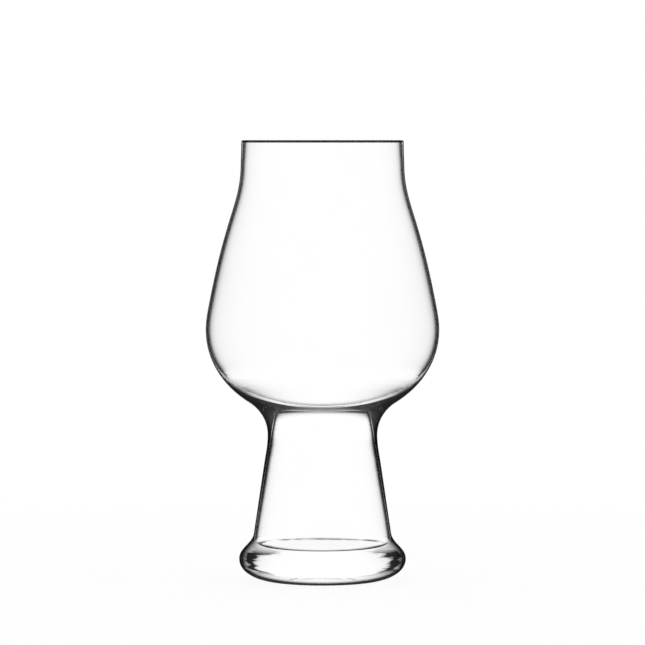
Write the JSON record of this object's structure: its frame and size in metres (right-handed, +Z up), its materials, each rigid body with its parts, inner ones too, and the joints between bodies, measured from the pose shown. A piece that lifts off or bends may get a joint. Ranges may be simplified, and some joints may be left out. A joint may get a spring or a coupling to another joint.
{
  "type": "stout glass",
  "caption": "Clear stout glass: a round bowl drawn in to a short neck with a rounded rim, on a hollow flared stem with a thick solid foot; stands on a flat ring and holds a drink.",
  "frame": {"origin": "on the table under the centre of the glass, on its axis", "axes": "+Z up the axis of the glass, from the foot to the rim; it is round, so +X and +Y are free, and the picture looks along +Y"},
  "size_m": [0.0936, 0.0936, 0.1766],
  "materials": {
    "clear_glass": "clear, polished, colourless"
  },
  "bodies": {
    "root": {"bowl": "clear_glass", "stem": "clear_glass", "foot": "clear_glass"}
  },
  "joints": []
}
